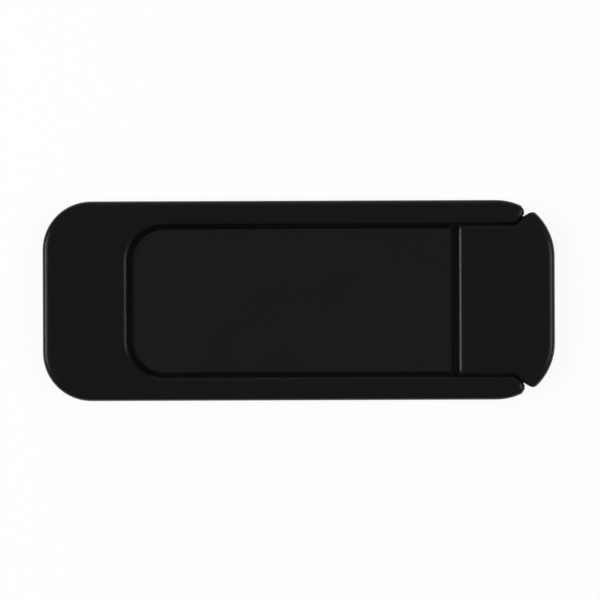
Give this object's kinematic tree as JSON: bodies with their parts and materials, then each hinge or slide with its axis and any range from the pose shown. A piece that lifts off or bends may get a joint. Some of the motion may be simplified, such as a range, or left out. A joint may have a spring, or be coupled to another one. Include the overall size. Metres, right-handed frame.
{
  "type": "sliding webcam cover",
  "caption": "Stick-on sliding cover for a laptop camera: a flat U-shaped frame and a slider whose thin tongue shuts or clears the window in the frame's floor.",
  "frame": {"origin": "on the adhesive's lower face, under the middle of the closed cover", "axes": "+X along the slide, from the closed heel to the open mouth, the way the slider opens; +Y across the rails; +Z out of the bezel, towards the user"},
  "size_m": [0.04, 0.0156, 0.0021],
  "materials": {
    "frame_plastic": "moulded black plastic with a fine spark texture",
    "slider_plastic": "moulded black plastic with a fine spark texture, smoother on the tongue's face",
    "pad_foam": "white closed-cell foam with clear adhesive on both faces"
  },
  "bodies": {
    "base": {"base_frame": "frame_plastic", "adhesive_pad": "pad_foam"},
    "slider": {"slider": "slider_plastic"}
  },
  "joints": [
    {"name": "cover_slide", "type": "slide", "parent": "base", "child": "slider", "axis": [1, 0, 0], "range_m": [0, 0.01]}
  ]
}
